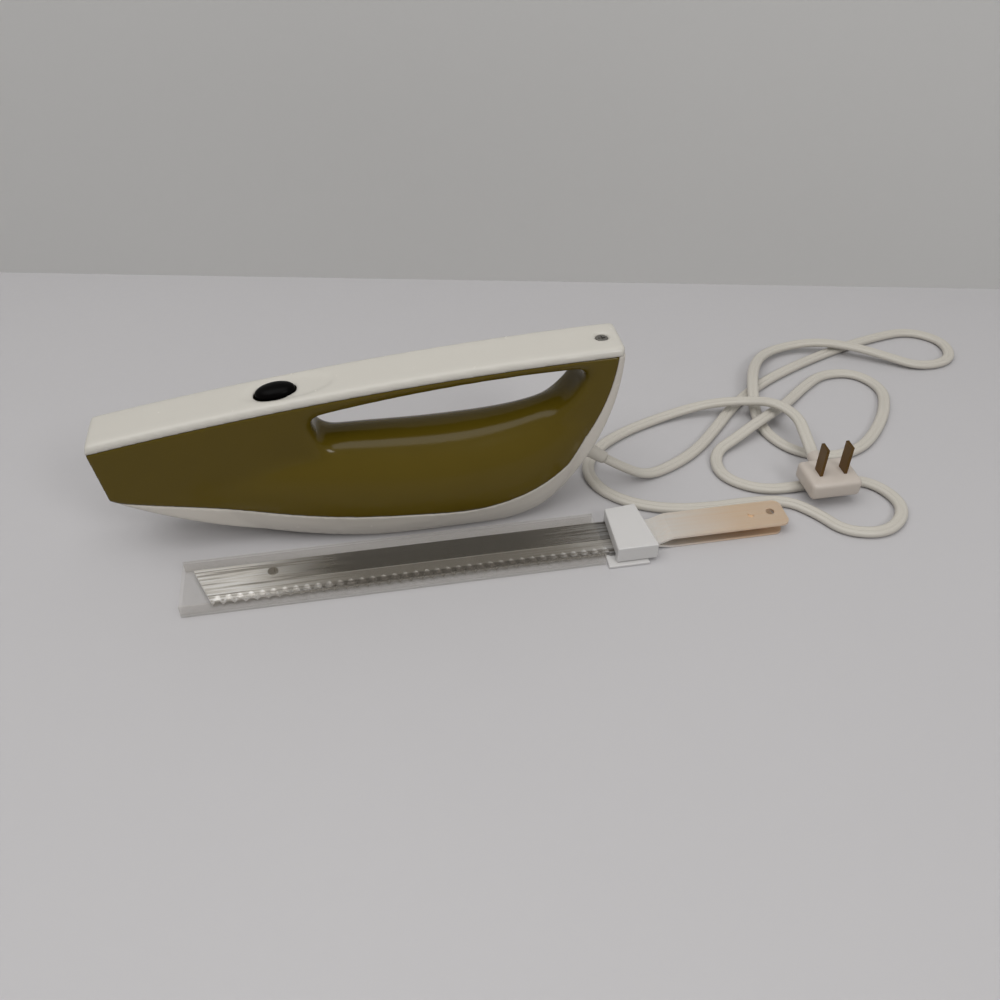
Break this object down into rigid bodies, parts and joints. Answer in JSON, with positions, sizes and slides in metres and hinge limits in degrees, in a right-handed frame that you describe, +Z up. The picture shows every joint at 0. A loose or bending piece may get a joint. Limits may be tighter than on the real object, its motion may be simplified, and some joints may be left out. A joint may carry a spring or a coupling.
{
  "type": "electric carving knife",
  "caption": "Electric carving knife with a hand hole in its boat-shaped body, serrated blades in a clear sheath, and a loose cord with a plug.",
  "frame": {"origin": "on the flat foot of the bottom cover, in the middle of the body's width", "axes": "+X from the blade slot in the nose to the tail, +Y away from the loose blades, +Z up"},
  "size_m": [0.4798, 0.1737, 0.09],
  "materials": {
    "green_shell": "gloss",
    "cream_cover": "gloss",
    "white_shell": "gloss",
    "black_button": "satin",
    "black_moulding": "matte",
    "cord_sleeve": "satin",
    "clear": "clear",
    "steel": "plain",
    "blade_steel": "ground",
    "brass": "plain",
    "bronze": "sintered",
    "copper": "varnished",
    "core_iron": "laminated",
    "cast_metal": "cast"
  },
  "bodies": {
    "housing": {"top_cover": "cream_cover", "cover_screw": "steel", "side_shell": "green_shell", "nose_guide": "black_moulding", "base_screws": "steel", "strain_relief": "cord_sleeve", "bottom_cover": "white_shell", "switch_spring": "steel", "switch_body": "black_moulding", "field_stack": "core_iron", "field_coils": "copper", "front_bearing": "bronze", "rear_bearing": "bronze", "nose_bearing": "bronze", "front_bracket": "cast_metal", "rear_bracket": "cast_metal", "brush_holders": "brass", "carbon_brushes": "black_moulding", "brush_springs": "steel", "gear_axle": "steel", "gear_frame": "cast_metal", "plug_body": "white_shell", "plug_prongs": "brass", "power_cord": "cord_sleeve"},
    "button": {"switch_button": "black_button"},
    "armature": {"armature_shaft": "steel", "armature_core": "core_iron", "armature_windings": "copper", "commutator": "copper", "cooling_fan": "black_moulding"},
    "gear": {"drive_gear": "black_moulding"},
    "left_driver": {"left_driver": "steel"},
    "right_driver": {"right_driver": "steel"},
    "blade_set": {"upper_blade": "blade_steel", "upper_guard": "white_shell", "blade_rivet": "blade_steel"},
    "lower_blade_set": {"lower_blade": "blade_steel", "lower_guard": "white_shell"},
    "sheath": {"blade_sheath": "clear"}
  },
  "joints": [
    {"name": "button_press", "type": "slide", "parent": "housing", "child": "button", "axis": [0.1219, 0, -0.9925], "range_m": [0, 0.0025], "stiffness_N_per_m": 300, "deforming": ["switch_spring"]},
    {"name": "armature_spin", "type": "hinge", "parent": "housing", "child": "armature", "pos_m": [0, 0, 0.026], "axis": [1, 0, 0], "continuous": true},
    {"name": "gear_turn", "type": "hinge", "parent": "housing", "child": "gear", "pos_m": [-0.062, 0, 0.04275], "axis": [0, 1, 0], "continuous": true},
    {"name": "left_stroke", "type": "slide", "parent": "housing", "child": "left_driver", "axis": [1, 0, 0], "range_m": [-0.003, 0.003]},
    {"name": "right_stroke", "type": "slide", "parent": "housing", "child": "right_driver", "axis": [1, 0, 0], "range_m": [-0.003, 0.003]},
    {"name": "blade_lift", "type": "slide", "parent": "housing", "child": "blade_set", "axis": [0, 0, 1], "range_m": [0, 0.12]},
    {"name": "blade_stroke", "type": "slide", "parent": "blade_set", "child": "lower_blade_set", "axis": [1, 0, 0], "range_m": [0, 0.006]},
    {"name": "sheath_pull", "type": "slide", "parent": "blade_set", "child": "sheath", "axis": [-1, 0, 0], "range_m": [0, 0.2]}
  ],
  "couplings": [
    {"joint": "gear_turn", "follows": "armature_spin", "ratio": 0.03125},
    {"joint": "right_stroke", "follows": "left_stroke", "ratio": -1}
  ]
}
